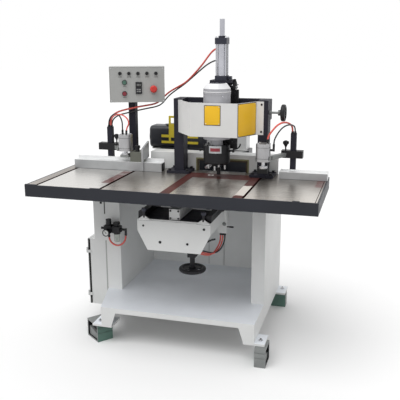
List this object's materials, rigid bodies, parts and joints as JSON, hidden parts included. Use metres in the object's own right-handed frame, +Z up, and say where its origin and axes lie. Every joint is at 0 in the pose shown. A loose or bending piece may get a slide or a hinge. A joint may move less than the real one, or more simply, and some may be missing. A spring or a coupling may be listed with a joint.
{
  "type": "door lock mortiser",
  "caption": "Floor-standing door lock mortiser: a fenced table under a gantry drill head, with a plunging mortising unit behind, air clamps, a lifting knee and a control box.",
  "frame": {"origin": "on the floor under the middle of the table length and of the machine depth", "axes": "+X along the table to the operator's right, +Y away from the operator, +Z up"},
  "size_m": [1.5, 1.02, 1.767],
  "materials": {
    "cabinet_paint": "satin",
    "table_dark_paint": "satin",
    "ground_steel": "ground",
    "wear_strip_brown": "matte",
    "fence_grey": "satin",
    "post_dark_paint": "satin",
    "green_casting": "painted",
    "bright_steel": "turned",
    "black_steel": "satin",
    "silver_casting": "cast",
    "cylinder_silver": "anodised",
    "control_grey": "textured",
    "green_plastic": "gloss",
    "red_plastic": "gloss",
    "black_plastic": "moulded",
    "yellow_paint": "satin",
    "olive_paint": "satin",
    "clamp_pad": "matte",
    "hose_plastic": "clear coloured",
    "service_unit": "moulded"
  },
  "bodies": {
    "frame": {"base_frame": "cabinet_paint", "levelling_mounts": "green_casting", "side_columns": "cabinet_paint", "electrical_box": "cabinet_paint", "table_frame": "table_dark_paint", "table_plates": "ground_steel", "wear_strips": "wear_strip_brown", "fences": "fence_grey", "rear_bulkhead": "cabinet_paint", "gantry_posts": "post_dark_paint", "crossbeam": "post_dark_paint", "head_guard": "cabinet_paint", "frame_bolts": "bright_steel", "feed_cylinder": "cylinder_silver", "knee_hanger": "cabinet_paint", "control_post": "black_steel", "control_box": "control_grey", "clamp_posts": "black_steel", "clamp_arms": "black_steel", "clamp_cylinders": "cylinder_silver", "stop_carrier": "olive_paint", "air_service_unit": "service_unit", "feed_hoses": "hose_plastic", "clamp_hoses": "hose_plastic", "service_hose": "hose_plastic"},
    "cross_carriage": {"cross_carriage": "bright_steel"},
    "head": {"head_slide": "black_steel", "drill_motor": "silver_casting", "drill_head_housing": "black_steel"},
    "knee": {"knee": "cabinet_paint", "knee_rails": "black_steel", "table_hoses": "hose_plastic"},
    "mortise_unit": {"mortise_unit": "black_steel", "mortise_bracket": "yellow_paint"},
    "electrical_door": {"electrical_door": "cabinet_paint"},
    "feed_rod": {"feed_rod": "bright_steel"},
    "cross_handwheel": {"cross_handwheel": "black_steel"},
    "drive_spindle": {"drive_spindle": "bright_steel"},
    "drill_spindle_1": {"drill_spindle_1": "bright_steel"},
    "drill_spindle_2": {"drill_spindle_2": "bright_steel"},
    "drill_spindle_3": {"drill_spindle_3": "bright_steel"},
    "drill_spindle_4": {"drill_spindle_4": "bright_steel"},
    "lift_handwheel": {"lift_handwheel": "black_steel"},
    "saddle": {"saddle": "black_steel"},
    "mortise_spindle": {"mortise_spindle": "bright_steel"},
    "green_button": {"green_button": "green_plastic"},
    "red_button": {"red_button": "red_plastic"},
    "emergency_button": {"emergency_button": "red_plastic"},
    "selector_1": {"selector_1": "black_plastic"},
    "selector_2": {"selector_2": "black_plastic"},
    "selector_3": {"selector_3": "black_plastic"},
    "selector_4": {"selector_4": "black_plastic"},
    "selector_5": {"selector_5": "black_plastic"},
    "left_plunger": {"left_plunger": "clamp_pad"},
    "right_plunger": {"right_plunger": "clamp_pad"},
    "left_star_knob": {"left_star_knob": "black_plastic"},
    "right_star_knob": {"right_star_knob": "black_plastic"},
    "flip_stop": {"flip_stop": "fence_grey"},
    "stop_knob": {"stop_knob": "black_plastic"},
    "regulator_knob": {"regulator_knob": "black_plastic"}
  },
  "joints": [
    {"name": "electrical_door_hinge", "type": "hinge", "parent": "frame", "child": "electrical_door", "pos_m": [-0.6326, -0.066, 0.3], "axis": [0, 0, 1], "range_deg": [0, 110]},
    {"name": "cross_slide", "type": "slide", "parent": "frame", "child": "cross_carriage", "axis": [1, 0, 0], "range_m": [-0.018, 0.018]},
    {"name": "cross_handwheel_turn", "type": "hinge", "parent": "frame", "child": "cross_handwheel", "pos_m": [0.498, 0.035, 1.283], "axis": [1, 0, 0], "range_deg": [-650, 650]},
    {"name": "head_feed", "type": "slide", "parent": "cross_carriage", "child": "head", "axis": [0, 0, 1], "range_m": [0, 0.07]},
    {"name": "feed_rod_stroke", "type": "slide", "parent": "frame", "child": "feed_rod", "axis": [0, 0, 1], "range_m": [0, 0.07]},
    {"name": "drive_spin", "type": "hinge", "parent": "head", "child": "drive_spindle", "pos_m": [0.161, -0.073, 1.07], "axis": [0, 0, 1], "continuous": true},
    {"name": "drill_spin_1", "type": "hinge", "parent": "head", "child": "drill_spindle_1", "pos_m": [0.206, -0.073, 1.07], "axis": [0, 0, 1], "continuous": true},
    {"name": "drill_spin_2", "type": "hinge", "parent": "head", "child": "drill_spindle_2", "pos_m": [0.161, -0.028, 1.07], "axis": [0, 0, 1], "continuous": true},
    {"name": "drill_spin_3", "type": "hinge", "parent": "head", "child": "drill_spindle_3", "pos_m": [0.116, -0.073, 1.07], "axis": [0, 0, 1], "continuous": true},
    {"name": "drill_spin_4", "type": "hinge", "parent": "head", "child": "drill_spindle_4", "pos_m": [0.161, -0.118, 1.07], "axis": [0, 0, 1], "continuous": true},
    {"name": "knee_lift", "type": "slide", "parent": "frame", "child": "knee", "axis": [0, 0, 1], "range_m": [0, 0.015]},
    {"name": "lift_handwheel_turn", "type": "hinge", "parent": "knee", "child": "lift_handwheel", "pos_m": [0.025, -0.085, 0.404], "axis": [0, 0, 1], "range_deg": [-5, 545]},
    {"name": "plunge", "type": "slide", "parent": "knee", "child": "saddle", "axis": [0, -1, 0], "range_m": [0, 0.12]},
    {"name": "traverse", "type": "slide", "parent": "saddle", "child": "mortise_unit", "axis": [1, 0, 0], "range_m": [-0.024, 0.024]},
    {"name": "mortise_spin", "type": "hinge", "parent": "mortise_unit", "child": "mortise_spindle", "pos_m": [0.064, 0.26, 0.962], "axis": [0, 1, 0], "continuous": true},
    {"name": "green_press", "type": "slide", "parent": "frame", "child": "green_button", "axis": [-0.342, 0.9397, 0], "range_m": [0, 0.004], "stiffness_N_per_m": 600, "springref_m": -0.002},
    {"name": "red_press", "type": "slide", "parent": "frame", "child": "red_button", "axis": [-0.342, 0.9397, 0], "range_m": [0, 0.004], "stiffness_N_per_m": 600, "springref_m": -0.002},
    {"name": "emergency_press", "type": "slide", "parent": "frame", "child": "emergency_button", "axis": [-0.342, 0.9397, 0], "range_m": [0, 0.005], "stiffness_N_per_m": 900, "springref_m": -0.002},
    {"name": "selector_turn_1", "type": "hinge", "parent": "frame", "child": "selector_1", "pos_m": [-0.41781, 0.00747, 1.4795], "axis": [0.342, -0.9397, 0], "range_deg": [-45, 45]},
    {"name": "selector_turn_2", "type": "hinge", "parent": "frame", "child": "selector_2", "pos_m": [-0.37083, 0.02457, 1.4795], "axis": [0.342, -0.9397, 0], "range_deg": [-45, 45]},
    {"name": "selector_turn_3", "type": "hinge", "parent": "frame", "child": "selector_3", "pos_m": [-0.32384, 0.04167, 1.4795], "axis": [0.342, -0.9397, 0], "range_deg": [-45, 45]},
    {"name": "selector_turn_4", "type": "hinge", "parent": "frame", "child": "selector_4", "pos_m": [-0.27686, 0.05877, 1.4795], "axis": [0.342, -0.9397, 0], "range_deg": [-45, 45]},
    {"name": "selector_turn_5", "type": "hinge", "parent": "frame", "child": "selector_5", "pos_m": [-0.22987, 0.07587, 1.4795], "axis": [0.342, -0.9397, 0], "range_deg": [-45, 45]},
    {"name": "left_clamp", "type": "slide", "parent": "frame", "child": "left_plunger", "axis": [0, 0, -1], "range_m": [0, 0.024]},
    {"name": "right_clamp", "type": "slide", "parent": "frame", "child": "right_plunger", "axis": [0, 0, -1], "range_m": [0, 0.024]},
    {"name": "left_knob_turn", "type": "hinge", "parent": "frame", "child": "left_star_knob", "pos_m": [-0.475, 0.065, 1.121], "axis": [0, 0, 1], "continuous": true},
    {"name": "right_knob_turn", "type": "hinge", "parent": "frame", "child": "right_star_knob", "pos_m": [0.511, 0.065, 1.121], "axis": [0, 0, 1], "continuous": true},
    {"name": "stop_knob_turn", "type": "hinge", "parent": "frame", "child": "stop_knob", "pos_m": [-0.324, 0.00635, 1.055], "axis": [0, 0, 1], "continuous": true},
    {"name": "flip_stop_turn", "type": "hinge", "parent": "frame", "child": "flip_stop", "pos_m": [-0.2817, 0.055, 1.0163], "axis": [-1, 0, 0], "range_deg": [0, 50]},
    {"name": "regulator_turn", "type": "hinge", "parent": "frame", "child": "regulator_knob", "pos_m": [-0.468, -0.11, 0.65], "axis": [0, 0, 1], "range_deg": [-150, 150]}
  ],
  "couplings": [
    {"joint": "cross_handwheel_turn", "follows": "cross_slide", "rad_per_m": 628.32},
    {"joint": "feed_rod_stroke", "follows": "head_feed", "ratio": 1},
    {"joint": "lift_handwheel_turn", "follows": "knee_lift", "rad_per_m": 628.32},
    {"joint": "drill_spin_1", "follows": "drive_spin", "ratio": -1.5},
    {"joint": "drill_spin_2", "follows": "drive_spin", "ratio": -1.5},
    {"joint": "drill_spin_3", "follows": "drive_spin", "ratio": -1.5},
    {"joint": "drill_spin_4", "follows": "drive_spin", "ratio": -1.5}
  ]
}
